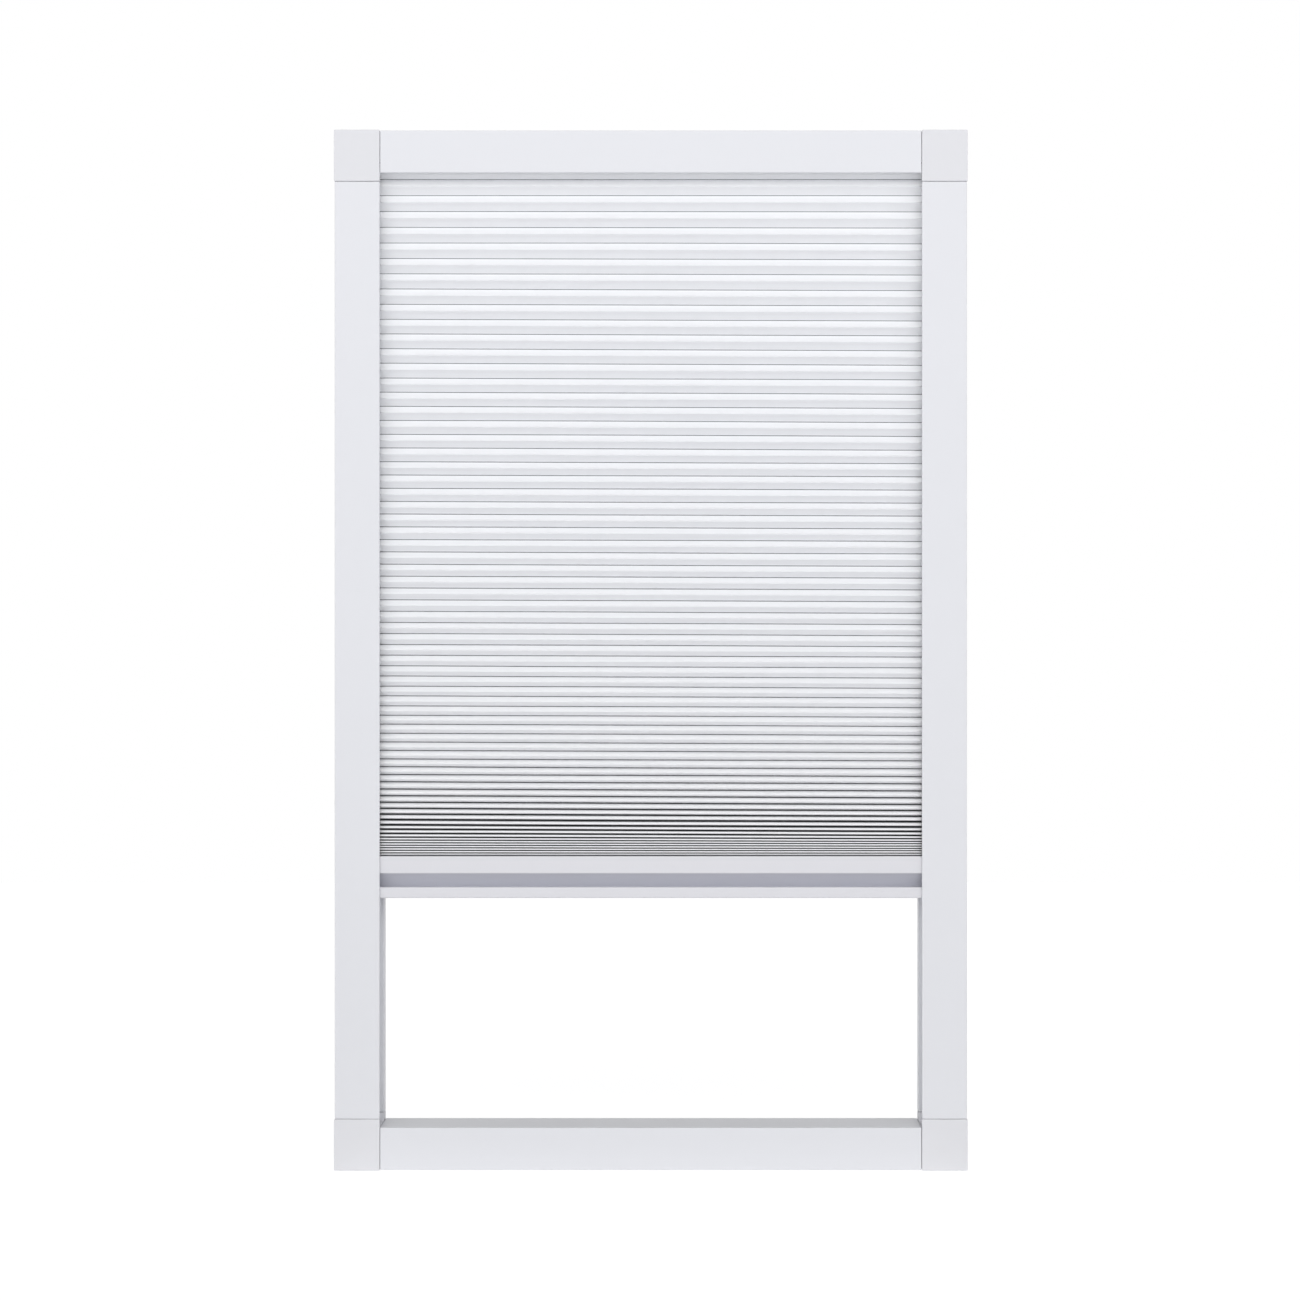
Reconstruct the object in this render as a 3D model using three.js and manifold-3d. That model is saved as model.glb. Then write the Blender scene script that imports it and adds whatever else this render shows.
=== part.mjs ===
// Skylight window blind: a four-sided aluminium frame with moulded corner blocks, a honeycomb fabric
// hung from a head rail hidden in the top of the frame, and a handle rail that slides in the side channels.
// Millimetres, +X to the right, +Y to the back, +Z up. The origin is the centre of the outer box.

import * as THREE from "three";
import { mergeVertices } from "three/addons/utils/BufferGeometryUtils.js";
import Module from "manifold-3d";

const wasm = await Module();
wasm.setup();

// Overall size, over the corner blocks
const overallWidth = 610;
const overallHeight = 1002;

// Frame profiles: walls, chambers and the side channel
const frontWall = 2;
const wall = 1.6;
const channelWidth = 28.4;
const channelReach = 15.3;
const mainChamber = 24.8;
const rearChamber = 8.4;
const upperChamber = 7.4;
const frontEdge = 1;
const lipEdge = 0.5;
const backEdge = 0.6;

// Corner blocks
const cornerProud = 0.7;
const cornerTail = 8;
const blockEase = 0.5;
const blockCorner = 1.2;
const blockWall = 2.5;
const blockRib = 1.8;
const stileSpigot = 28;
const railSpigot = 22;
const spigotWall = 2.4;
const coreRows = 3;

// Clearances: between pieces that meet, and beyond a cut
const fit = 0.3;
const overrun = 2;

// Head rail, its clips and the strip that traps the fabric
const headChamber = 4.4;
const headCover = 12.6;
const headPlay = 1.5;
const headWall = 1.4;
const headEntry = 9;
const troughWidth = 14;
const troughDepth = 3;
const capPlate = 1.5;
const capPlug = 8;
const clipPlate = 1;
const clipLeg = 0.8;
const clipWidth = 22;
const clipCount = 3;
const clipInset = 44;
const gripHeight = 1;
const gripDepth = 0.9;
const slotSide = 2.8;
const slotLip = 1.5;
const slotReach = 3.4;
const slotHeight = 3;
const stripThickness = 1;

// Handle rail
const railPlay = 1;
const railEntry = 8;
const railWall = 1.8;
const upperFace = 16.4;
const fingerGroove = 14.4;
const lowerFace = 9.7;
const grooveDepth = 13;
const grooveBead = 1.4;
const beadRise = 0.7;
const scoopBackShare = 0.4;
const scoopDownShare = 0.17;
const railEdge = 1.2;
const drawnShare = 0.749;

// End carriages, with their friction pads and springs
const carriageSpigot = 26;
const shoeFloor = 1.5;
const shoeTrim = 0.5;
const shoeRound = 5;
const padProud = 0.5;
const padWidth = 12;
const padHeight = 20;
const padShare = 0.45;
const springSheet = 0.5;
const springEaseShare = 0.2;

// Honeycomb fabric
const fabricEntry = 7.5;
const fabricPlay = 1.3;
const fabricWall = 0.4;
const glueBand = 5;
const neckPlay = 1.5;
const seatGap = 0.5;
const meanPitchShare = 0.48;
const foldedShare = 0.15;
const slackShare = 0.065;
const openCellShare = 0.78;

// Screws
const screwHead = 3;
const screwShank = 1.5;
const screwLength = 9;
const screwRecess = 1;
const panHead = 3;
const panHeight = 1.6;

// Smoothness of the rounded edges and of the turned pieces
const arcSteps = 3;
const turnSteps = 20;

// Sizes that follow from those above
const frameDepth = frontWall + channelWidth + wall + rearChamber + wall;
const stileFace = wall + mainChamber + wall + channelReach;
const channelTop = wall + upperChamber + wall;
const headTop = channelTop + fit + clipPlate + fit;
const headFloor = slotLip + slotHeight + gripHeight + fit + headWall;
const headHeight = headFloor + headChamber + headWall + troughDepth;
const railFace = headTop + headHeight + headCover;
const outerX = overallWidth / 2 - cornerProud;
const outerZ = overallHeight / 2 - cornerProud;
const frontY = -frameDepth / 2;
const openX = outerX - stileFace;
const openZ = outerZ - railFace;
const floorU = stileFace - channelReach;
const channelBack = frontWall + channelWidth;
const rearStart = channelBack + wall;
const rearEnd = rearStart + rearChamber;
const blockReach = railFace + cornerTail;
const fabricY = frontY + frontWall + channelWidth / 2;
const headDepth = channelWidth - 2 * headPlay;
const headBottomZ = outerZ - headTop - headHeight;
const slotHalf = headDepth / 2 - slotSide;
const slotMouth = slotHalf - slotReach;
const handleDepth = channelWidth - 2 * railPlay;
const handleHeight = lowerFace + fingerGroove + upperFace;
const handleTopZ = openZ - drawnShare * (2 * openZ - handleHeight);
const handleBottomZ = handleTopZ - handleHeight;
const handleEndX = openX + railEntry;
const fabricWidth = 2 * (openX + fabricEntry);
const facet = channelWidth / 2 - fabricPlay - glueBand / 2;

// Where the corner screws sit: in the middle of each spigot, as [x, z] from the frame's outer corner
const stileScrewAt = [wall + mainChamber / 2, -blockReach - fit - stileSpigot / 2];
const railScrewAt = [stileFace + fit + railSpigot / 2, -railFace / 2];

// Where a carriage's screw goes through the handle rail's back, from the middle and from the lower side
const carriageScrewX = handleEndX - carriageSpigot / 2;
const carriageScrewZ = (handleHeight - upperFace) / 2;

// The room between a rail end and the channel's floor, and how shoe, spring and pad share it
const shoeOuter = channelReach - fit - padProud;
const shoeInner = railEntry + fit;
const shoeRoom = shoeOuter - shoeInner - shoeFloor;
const padThickness = padShare * (shoeRoom + padProud);
const springRoom = shoeRoom + padProud - padThickness - 2 * fit;
const padZ = handleHeight / 2;

// Finishes
const aluminium = new THREE.MeshStandardMaterial({ color: 0xe6e7eb, roughness: 0.38, metalness: 0.1 });
const moulding = new THREE.MeshStandardMaterial({ color: 0xdfe0e3, roughness: 0.55, metalness: 0 });
const cloth = new THREE.MeshStandardMaterial({ color: 0xf2f3f7, roughness: 0.9, metalness: 0 });
const nylon = new THREE.MeshStandardMaterial({ color: 0xd2d3d6, roughness: 0.5, metalness: 0 });
const plainStrip = new THREE.MeshStandardMaterial({ color: 0xc9ccd0, roughness: 0.45, metalness: 0 });
const felt = new THREE.MeshStandardMaterial({ color: 0x55585e, roughness: 1, metalness: 0 });
const springSteel = new THREE.MeshStandardMaterial({ color: 0xb4b7bb, roughness: 0.3, metalness: 1 });
const zincSteel = new THREE.MeshStandardMaterial({ color: 0xc2c5c9, roughness: 0.35, metalness: 1 });

const axisX = new THREE.Vector3(1, 0, 0);
const axisY = new THREE.Vector3(0, 1, 0);
const axisZ = new THREE.Vector3(0, 0, 1);

const blind = new THREE.Group();

// A closed line through corners [x, y, radius], each rounded by its radius if it has one.
function line(corners) {
  const path = new THREE.Shape();
  corners.forEach(([x, y, radius = 0], i) => {
    const corner = new THREE.Vector2(x, y);
    const from = new THREE.Vector2(...corners.at(i - 1)).sub(corner).setLength(radius).add(corner);
    const next = corners[(i + 1) % corners.length];
    const to = new THREE.Vector2(...next).sub(corner).setLength(radius).add(corner);
    if (i === 0) path.moveTo(from.x, from.y);
    else path.lineTo(from.x, from.y);
    if (radius) path.quadraticCurveTo(corner.x, corner.y, to.x, to.y);
  });
  path.closePath();
  return path;
}

// The rectangular section of a chamber.
function chamber(x0, y0, x1, y1) {
  return line([[x0, y0], [x1, y0], [x1, y1], [x0, y1]]);
}

// A shape drawn in Y and Z, extruded along X and centred on it.
function alongX(shape, length) {
  const options = { depth: length, bevelEnabled: false, curveSegments: arcSteps };
  const made = new THREE.ExtrudeGeometry(shape, options);
  made.applyMatrix4(new THREE.Matrix4().makeBasis(axisY, axisZ, axisX));
  return made.translate(-length / 2, 0, 0);
}

// A shape drawn in X and Y, extruded along Z and centred on it.
function alongZ(shape, length) {
  const options = { depth: length, bevelEnabled: false, curveSegments: arcSteps };
  const made = new THREE.ExtrudeGeometry(shape, options);
  return made.translate(0, 0, -length / 2);
}

// A shape drawn in X and Z, extruded along Y from its front at y = 0, with the front and back edges eased.
function alongY(shape, length, ease) {
  const made = new THREE.ExtrudeGeometry(shape, {
    depth: length - 2 * ease,
    bevelSize: ease,
    bevelThickness: ease,
    bevelOffset: -ease,
    bevelSegments: arcSteps,
    curveSegments: arcSteps,
  });
  made.applyMatrix4(new THREE.Matrix4().makeBasis(axisX, axisZ, axisY.clone().negate()));
  return made.translate(0, length - ease, 0);
}

// A box between two corners.
function box(x0, x1, y0, y1, z0, z1) {
  const made = new THREE.BoxGeometry(x1 - x0, y1 - y0, z1 - z0);
  return made.translate((x0 + x1) / 2, (y0 + y1) / 2, (z0 + z1) / 2);
}

// A closed geometry as a solid that can be joined and cut.
function solidOf(geometry) {
  const bare = geometry.clone();
  bare.deleteAttribute("normal");
  bare.deleteAttribute("uv");
  const merged = mergeVertices(bare);
  const vertProperties = merged.attributes.position.array;
  const triVerts = new Uint32Array(merged.index.array);
  return new wasm.Manifold(new wasm.Mesh({ numProp: 3, vertProperties, triVerts }));
}

// The joined solid of some geometries.
function joined(...geometries) {
  return geometries.map(solidOf).reduce((whole, piece) => whole.add(piece));
}

// What is left of a solid after some geometries are cut from it, as a geometry.
function cut(solid, ...tools) {
  const left = tools.map(solidOf).reduce((rest, tool) => rest.subtract(tool), solid);
  const mesh = left.getMesh();
  const made = new THREE.BufferGeometry();
  made.setAttribute("position", new THREE.BufferAttribute(mesh.vertProperties, mesh.numProp));
  made.setIndex(new THREE.BufferAttribute(mesh.triVerts, 1));
  const flat = made.toNonIndexed();
  flat.computeVertexNormals();
  return flat;
}

// A profile extruded along an axis, with its chambers and any other tools cut from it.
function profile(along, outer, chambers, length, ...tools) {
  const through = chambers.map((section) => along(section, length + 2 * overrun));
  return cut(solidOf(along(outer, length)), ...through, ...tools);
}

// Adds a named piece to a group, at a place.
function add(group, name, geometry, material, x = 0, y = 0, z = 0) {
  const mesh = new THREE.Mesh(geometry, material);
  mesh.name = name;
  mesh.position.set(x, y, z);
  group.add(mesh);
  return mesh;
}

// A countersunk screw with its head's face at y = 0 and its point towards -Y, or the clear hole for it.
function countersunkScrew(play = 0) {
  const head = screwHead + play;
  const shank = screwShank + play;
  const length = screwLength + play;
  const opening = [[0, overrun], [head, overrun], [head, 0]];
  const recess = [[0, -screwRecess], [screwRecess, 0], [head, 0]];
  const mouth = play ? opening : recess;
  const turned = [...mouth, [shank, shank - head], [shank, shank - length], [0, -length]];
  return new THREE.LatheGeometry(turned.reverse().map(([r, y]) => new THREE.Vector2(r, y)), turnSteps);
}

// The clear hole for a clip's screw, longer than a clip's plate or a wall of the frame is thick.
function clipDrill() {
  const radius = screwShank + fit;
  return new THREE.CylinderGeometry(radius, radius, wall + overrun, turnSteps).rotateX(Math.PI / 2);
}

// A pan-head screw with its point towards +Z and the seat of its head at z = 0.
function panScrew(length) {
  const crown = [[0, -panHeight], [panHead - panHeight / 2, -panHeight], [panHead, -panHeight / 2]];
  const turned = [...crown, [panHead, 0], [screwShank, 0], [screwShank, length - screwShank], [0, length]];
  const made = new THREE.LatheGeometry(turned.map(([r, y]) => new THREE.Vector2(r, y)), turnSteps);
  return made.rotateX(Math.PI / 2);
}

// The stile: a closed main chamber, the side channel that opens inwards, and a closed rear chamber.
// Drawn with the outer side at x = 0 and the front face at y = 0.
function stile(length, ...holes) {
  const outer = line([
    [0, 0, frontEdge],
    [stileFace, 0, frontEdge],
    [stileFace, frontWall, lipEdge],
    [floorU, frontWall],
    [floorU, channelBack],
    [stileFace, channelBack, lipEdge],
    [stileFace, frameDepth, backEdge],
    [0, frameDepth, backEdge],
  ]);
  const chambers = [
    chamber(wall, frontWall, floorU - wall, rearEnd),
    chamber(floorU, rearStart, stileFace - wall, rearEnd),
  ];
  return profile(alongZ, outer, chambers, length, ...holes);
}

// The top rail: a channel open downwards for the head rail, under a closed upper chamber.
// Drawn with the front face at y = 0 and the outer side at z = 0.
function topRail(length, ...holes) {
  const outer = line([
    [0, 0, frontEdge],
    [0, -railFace, frontEdge],
    [frontWall, -railFace, lipEdge],
    [frontWall, -channelTop],
    [channelBack, -channelTop],
    [channelBack, -railFace, lipEdge],
    [frameDepth, -railFace, backEdge],
    [frameDepth, 0, backEdge],
  ]);
  const chambers = [
    chamber(frontWall, -wall, channelBack, -wall - upperChamber),
    chamber(rearStart, -wall, rearEnd, wall - railFace),
  ];
  return profile(alongX, outer, chambers, length, ...holes);
}

// The bottom rail, drawn like the top one: its inner side is a flat wall, with a web behind the face.
function bottomRail(length, ...holes) {
  const outer = line([
    [0, 0, frontEdge],
    [0, -railFace, frontEdge],
    [frameDepth, -railFace, frontEdge],
    [frameDepth, 0, backEdge],
  ]);
  const web = frontWall + channelWidth / 2;
  const chambers = [
    chamber(frontWall, -wall, web - wall / 2, wall - railFace),
    chamber(web + wall / 2, -wall, channelBack, wall - railFace),
    chamber(rearStart, -wall, rearEnd, wall - railFace),
  ];
  return profile(alongX, outer, chambers, length, ...holes);
}

// A corner block with its two spigots, drawn for the top left from the profiles' outer corner.
// pocketTop is how far below that corner the pocket that continues the side channel starts.
function cornerBlock(pocketTop) {
  const body = line([
    [-cornerProud, cornerProud, blockCorner],
    [stileFace, cornerProud, blockCorner],
    [stileFace, -blockReach, blockCorner],
    [-cornerProud, -blockReach, blockCorner],
  ]);
  const spigotX = [wall + fit, floorU - wall - fit];
  const spigotY = [frontWall + fit, rearEnd - fit];
  const spigotEnd = -blockReach - fit - stileSpigot;
  const stilePlug = box(...spigotX, ...spigotY, spigotEnd, blockEase - blockReach);
  const railPlug = box(
    stileFace - blockEase, stileFace + fit + railSpigot, rearStart + fit, rearEnd - fit,
    wall + fit - railFace, -wall - fit,
  );
  const hollow = box(
    spigotX[0] + spigotWall, spigotX[1] - spigotWall, spigotY[0] + spigotWall, spigotY[1] - spigotWall,
    spigotEnd - overrun, -blockReach,
  );
  const pocket = box(
    floorU, stileFace + overrun, frontWall, channelBack, -blockReach - overrun, -pocketTop,
  );
  const cores = [];
  const rowRoom = blockReach - 2 * blockWall - (coreRows - 1) * blockRib;
  const rowHeight = rowRoom / coreRows;
  const middle = (blockWall + floorU - blockWall) / 2;
  const columns = [
    [blockWall, middle - blockRib / 2, frontWall + blockWall],
    [middle + blockRib / 2, floorU - blockWall, frontWall + blockWall],
    [floorU, stileFace - blockWall, channelBack + blockWall],
  ];
  for (let row = 0; row < coreRows; row += 1) {
    const top = -blockWall - row * (rowHeight + blockRib);
    for (const [x0, x1, y0] of columns) {
      cores.push(box(x0, x1, y0, frameDepth + overrun, top - rowHeight, top));
    }
  }
  const pilots = [stileScrewAt, railScrewAt].map(([x, z]) =>
    countersunkScrew(fit).translate(x, frameDepth, z),
  );
  const whole = joined(alongY(body, frameDepth, blockEase), stilePlug, railPlug);
  return cut(whole, hollow, pocket, ...cores, ...pilots);
}

// One side of the T-shaped groove that traps the fabric, from its mouth at height z to its closed end.
// side is -1 for the front and 1 for the back, and up is 1 in the head rail and -1 in the handle rail.
function slotCorners(side, z, up) {
  return [
    [side * slotMouth, z],
    [side * slotMouth, z + up * slotLip],
    [side * slotHalf, z + up * slotLip],
    [side * slotHalf, z + up * (slotLip + slotHeight)],
  ];
}

// The head rail, drawn about its middle in depth with its lower side at z = 0.
function headRail(length) {
  const half = headDepth / 2;
  const gripZ = slotLip + slotHeight;
  const trough = troughWidth / 2;
  const floor = headHeight - troughDepth;
  const rightSide = [
    [half, 0, lipEdge],
    [half, gripZ - fit],
    [half - gripDepth, gripZ - fit],
    [half - gripDepth, gripZ + gripHeight + fit],
    [half, gripZ + gripHeight + fit],
    [half, headHeight, lipEdge],
    [trough, headHeight],
    [trough, floor],
  ];
  const shape = line([
    ...slotCorners(-1, 0, 1),
    ...slotCorners(1, 0, 1).reverse(),
    ...rightSide,
    ...rightSide.map(([y, z, r]) => [-y, z, r]).reverse(),
  ]);
  const inside = half - headWall;
  const chambers = [line([
    [-inside, headFloor],
    [inside, headFloor],
    [inside, headHeight - headWall],
    [trough + headWall, headHeight - headWall],
    [trough + headWall, floor - headWall],
    [-trough - headWall, floor - headWall],
    [-trough - headWall, headHeight - headWall],
    [-inside, headHeight - headWall],
  ])];
  const geometry = profile(alongX, shape, chambers, length);
  return { geometry, chamberFloor: headFloor, chamberRoof: floor - headWall, inside };
}

// The head rail's end cap: a plate that ends at x = 0, and a plug in the rail's chamber beyond it.
function headCap(rail) {
  const plate = box(-capPlate, 0, -headDepth / 2, headDepth / 2, 0, headHeight);
  const plug = box(
    -capPlate / 2, fit + capPlug, fit - rail.inside, rail.inside - fit,
    rail.chamberFloor + fit, rail.chamberRoof - fit,
  );
  return cut(joined(plate, plug));
}

// A sprung clip that hangs the head rail: a plate over it and two legs that hook into its sides.
function headClip() {
  const half = channelWidth / 2 - fit;
  const inner = half - clipLeg;
  const bottom = slotLip + slotHeight;
  const hook = headDepth / 2 - gripDepth + fit;
  const rightLeg = [
    [inner, headHeight + fit],
    [inner, bottom + gripHeight],
    [hook, bottom + gripHeight],
    [hook, bottom],
    [half, bottom],
    [half, headHeight + fit + clipPlate, clipLeg],
  ];
  const body = line([...rightLeg, ...rightLeg.map(([y, z, r]) => [-y, z, r]).reverse()]);
  return cut(solidOf(alongX(body, clipWidth)), clipDrill().translate(0, 0, headHeight + fit));
}

// Continues a path from (y, z) to (toY, toZ) along the finger groove's floor, which leaves the lower edge
// of the upper face steeply backwards and then falls ever more upright.
function scoop(path, y, z, toY, toZ) {
  path.lineTo(y, z);
  path.quadraticCurveTo(y + scoopBackShare * (toY - y), z + scoopDownShare * (toZ - z), toY, toZ);
}

// The handle rail, drawn about its middle in depth with its lower side at z = 0. The finger groove's
// floor goes back and down to a ledge behind a low bead on the lower face.
function handleRail(length) {
  const half = handleDepth / 2;
  const grooveTop = lowerFace + fingerGroove;
  const grooveX = -half + grooveBead;
  const grooveBack = -half + grooveDepth;
  const shape = new THREE.Shape();
  const edge = railEdge;
  shape.moveTo(-half + edge, 0);
  shape.lineTo(half - edge, 0);
  shape.quadraticCurveTo(half, 0, half, edge);
  shape.lineTo(half, handleHeight - edge);
  shape.quadraticCurveTo(half, handleHeight, half - edge, handleHeight);
  slotCorners(1, handleHeight, -1).forEach(([y, z]) => shape.lineTo(y, z));
  slotCorners(-1, handleHeight, -1).reverse().forEach(([y, z]) => shape.lineTo(y, z));
  shape.lineTo(-half + edge, handleHeight);
  shape.quadraticCurveTo(-half, handleHeight, -half, handleHeight - edge);
  shape.lineTo(-half, grooveTop + lipEdge);
  shape.quadraticCurveTo(-half, grooveTop, -half + lipEdge, grooveTop);
  scoop(shape, -half + lipEdge, grooveTop, grooveBack, lowerFace);
  shape.lineTo(grooveX, lowerFace);
  shape.lineTo(grooveX, lowerFace + beadRise);
  shape.lineTo(-half + lipEdge, lowerFace + beadRise);
  shape.quadraticCurveTo(-half, lowerFace + beadRise, -half, lowerFace + beadRise - lipEdge);
  shape.lineTo(-half, edge);
  shape.quadraticCurveTo(-half, 0, -half + edge, 0);
  const inside = half - railWall;
  const roof = handleHeight - slotLip - slotHeight - railWall;
  const chamberFront = grooveBack + railWall;
  const hollow = new THREE.Shape();
  hollow.moveTo(-inside, railWall);
  hollow.lineTo(inside, railWall);
  hollow.lineTo(inside, roof);
  hollow.lineTo(-inside, roof);
  scoop(hollow, -inside, grooveTop + railWall, chamberFront, lowerFace);
  hollow.lineTo(chamberFront, lowerFace - railWall);
  hollow.lineTo(-inside, lowerFace - railWall);
  hollow.lineTo(-inside, railWall);
  const holes = [-1, 1].map((side) =>
    countersunkScrew(fit).translate(side * carriageScrewX, half, carriageScrewZ),
  );
  return { geometry: profile(alongX, shape, [hollow], length, ...holes), inside, roof, chamberFront };
}

// The left end carriage: a shoe that runs in the side channel and a spigot in the rail's chamber.
// Drawn from the opening's side at x = 0, towards -X into the channel.
function carriage(rail) {
  const half = channelWidth / 2 - fit;
  const shoe = line([
    [-half, shoeTrim, shoeRound],
    [half, shoeTrim, shoeRound],
    [half, handleHeight - shoeTrim, shoeRound],
    [-half, handleHeight - shoeTrim, shoeRound],
  ]);
  const plate = alongX(shoe, shoeOuter - shoeInner).translate(-(shoeOuter + shoeInner) / 2, 0, 0);
  const spigot = box(
    -shoeInner - shoeFloor, carriageSpigot - railEntry, rail.chamberFront + fit, rail.inside - fit,
    railWall + fit, rail.roof - fit,
  );
  const core = box(
    -railEntry, carriageSpigot - railEntry + overrun,
    rail.chamberFront + fit + spigotWall, rail.inside - fit - spigotWall,
    railWall + fit + spigotWall, rail.roof - fit - spigotWall,
  );
  const pocket = box(
    -shoeOuter - overrun, -shoeInner - shoeFloor, -padWidth / 2, padWidth / 2,
    padZ - padHeight / 2, padZ + padHeight / 2,
  );
  const screwX = carriageSpigot / 2 - railEntry;
  const pilot = countersunkScrew(fit).translate(screwX, handleDepth / 2, carriageScrewZ);
  return cut(joined(plate, spigot), core, pocket, pilot);
}

// The felt-faced block that rubs on the channel's floor, at x = 0, clear of the pocket's sides.
function frictionPad() {
  const halfWidth = padWidth / 2 - fit;
  const halfHeight = padHeight / 2 - fit;
  return box(0, padThickness, -halfWidth, halfWidth, -halfHeight, halfHeight);
}

// The leaf spring behind a friction pad: a thin arch, drawn in X and Z with its feet at x = 0.
function padSpring() {
  const half = padHeight / 2 - fit;
  const rise = springRoom - springSheet;
  const arch = new THREE.Shape();
  arch.moveTo(0, -half);
  arch.quadraticCurveTo(-2 * rise, 0, 0, half);
  arch.lineTo(-springSheet, half);
  arch.quadraticCurveTo(-2 * rise - springSheet, 0, -springSheet, -half);
  arch.closePath();
  return alongY(arch, padWidth - 2 * fit, springEaseShare * springSheet);
}

// The fabric: cells one above the other, bonded along glue bands, wide open at the top where they carry
// the weight of those below, and folded together above the handle rail. A cell's pitch squared grows
// evenly with its place above the folded ones. The end cells are flattened round a strip in each rail.
function honeycomb() {
  const bottomZ = handleTopZ + seatGap;
  const topZ = headBottomZ - seatGap;
  const hung = topZ - bottomZ;
  const count = Math.round(hung / (meanPitchShare * 2 * facet));
  const raw = Array.from({ length: count }, (_, i) => {
    const open = Math.max(0, (i + 1 - slackShare * count) / (count - slackShare * count));
    return Math.sqrt(foldedShare ** 2 + (1 - foldedShare ** 2) * open);
  });
  const scale = hung / raw.reduce((sum, value) => sum + value);
  const band = glueBand / 2;
  const rightSide = [];
  const holes = [];
  let z = bottomZ;
  for (const share of raw) {
    const pitch = share * scale;
    const crest = band + Math.sqrt(facet ** 2 - (pitch / 2) ** 2);
    rightSide.push([band, z], [crest, z + pitch / 2]);
    if (pitch > openCellShare * facet) {
      const slope = Math.asin(pitch / 2 / facet);
      const inBand = band - fabricWall * Math.tan(slope / 2);
      const inCrest = crest - fabricWall / Math.sin(slope);
      holes.push([
        [-inBand, z + fabricWall], [inBand, z + fabricWall], [inCrest, z + pitch / 2],
        [inBand, z + pitch - fabricWall], [-inBand, z + pitch - fabricWall], [-inCrest, z + pitch / 2],
      ]);
    }
    z += pitch;
  }
  rightSide.push([band, topZ]);
  const neck = slotMouth - neckPlay;
  const trapped = slotHalf - fit;
  for (const [end, up] of [[headBottomZ, 1], [handleTopZ, -1]]) {
    const near = end + up * (slotLip + fit);
    const far = end + up * (slotLip + slotHeight - fit);
    const turn = [[neck, near], [trapped, near], [trapped, far]];
    if (up > 0) rightSide.push(...turn);
    else rightSide.unshift(...turn.reverse());
    const inside = trapped - fabricWall;
    holes.push([
      [-inside, near + up * fabricWall], [inside, near + up * fabricWall],
      [inside, far - up * fabricWall], [-inside, far - up * fabricWall],
    ]);
  }
  const outer = line([...rightSide, ...rightSide.map(([y, at]) => [-y, at]).reverse()]);
  return profile(alongX, outer, holes.map(line), fabricWidth);
}

// A strip that lies in a flattened end cell, drawn about its middle.
function fabricStrip() {
  const half = slotHalf - 2 * fit - fabricWall;
  return box(-fabricWidth / 2, fabricWidth / 2, -half, half, -stripThickness / 2, stripThickness / 2);
}

// Frame: the two rails and, on each side, a stile with its corner blocks and their screws
const railLength = 2 * (openX - fit);
const stileLength = 2 * (outerZ - blockReach - fit);
const railHoles = [-1, 1].map((side) =>
  countersunkScrew(fit).translate(side * (outerX - railScrewAt[0]), frameDepth, railScrewAt[1]),
);
const clipSpread = openX + headEntry - clipInset;
const clipPlaces = Array.from(
  { length: clipCount },
  (_, i) => clipSpread * ((2 * i) / (clipCount - 1) - 1),
);
const webHoles = clipPlaces.map((x) => clipDrill().translate(x, fabricY - frontY, wall / 2 - channelTop));
const stileHoles = [-1, 1].map((side) =>
  countersunkScrew(fit).translate(stileScrewAt[0], frameDepth, side * (outerZ + stileScrewAt[1])),
);
const upper = new THREE.Group();
const lower = new THREE.Group();
lower.scale.z = -1;
blind.add(upper, lower);
add(upper, "top_frame_rail", topRail(railLength, ...railHoles, ...webHoles), aluminium, 0, frontY, outerZ);
add(lower, "bottom_frame_rail", bottomRail(railLength, ...railHoles), aluminium, 0, frontY, outerZ);

for (const side of ["left", "right"]) {
  const hand = new THREE.Group();
  hand.scale.x = side === "left" ? 1 : -1;
  blind.add(hand);
  add(hand, `${side}_frame_stile`, stile(stileLength, ...stileHoles), aluminium, -outerX, frontY);
  for (const [end, pocketTop] of [["top", channelTop], ["bottom", railFace]]) {
    const corner = new THREE.Group();
    corner.position.set(-outerX, frontY, end === "top" ? outerZ : -outerZ);
    corner.scale.z = end === "top" ? 1 : -1;
    hand.add(corner);
    add(corner, `corner_block_${end}_${side}`, cornerBlock(pocketTop), moulding);
    for (const [member, [x, z]] of [["stile", stileScrewAt], ["rail", railScrewAt]]) {
      add(corner, `${member}_screw_${end}_${side}`, countersunkScrew(), zincSteel, x, frameDepth, z);
    }
  }
}

// Head rail with its caps, clips and screws, and the fabric with its two strips
const head = new THREE.Group();
head.position.set(0, fabricY, headBottomZ);
blind.add(head);
const headSection = headRail(2 * (openX + headEntry));
add(head, "head_rail", headSection.geometry, aluminium);
for (const side of ["left", "right"]) {
  const cap = add(head, `head_rail_cap_${side}`, headCap(headSection), moulding);
  cap.position.x = (side === "left" ? -1 : 1) * (openX + headEntry + fit);
  cap.scale.x = side === "left" ? 1 : -1;
}
const clipScrewLength = clipPlate + wall + upperChamber / 2;
clipPlaces.forEach((x, i) => {
  add(head, `head_rail_clip_${i + 1}`, headClip(), springSteel, x);
  add(head, `clip_screw_${i + 1}`, panScrew(clipScrewLength), zincSteel, x, 0, headHeight);
});
add(head, "head_fabric_strip", fabricStrip(), plainStrip, 0, 0, slotLip + slotHeight / 2);
add(blind, "honeycomb_fabric", honeycomb(), cloth, 0, fabricY);

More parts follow.
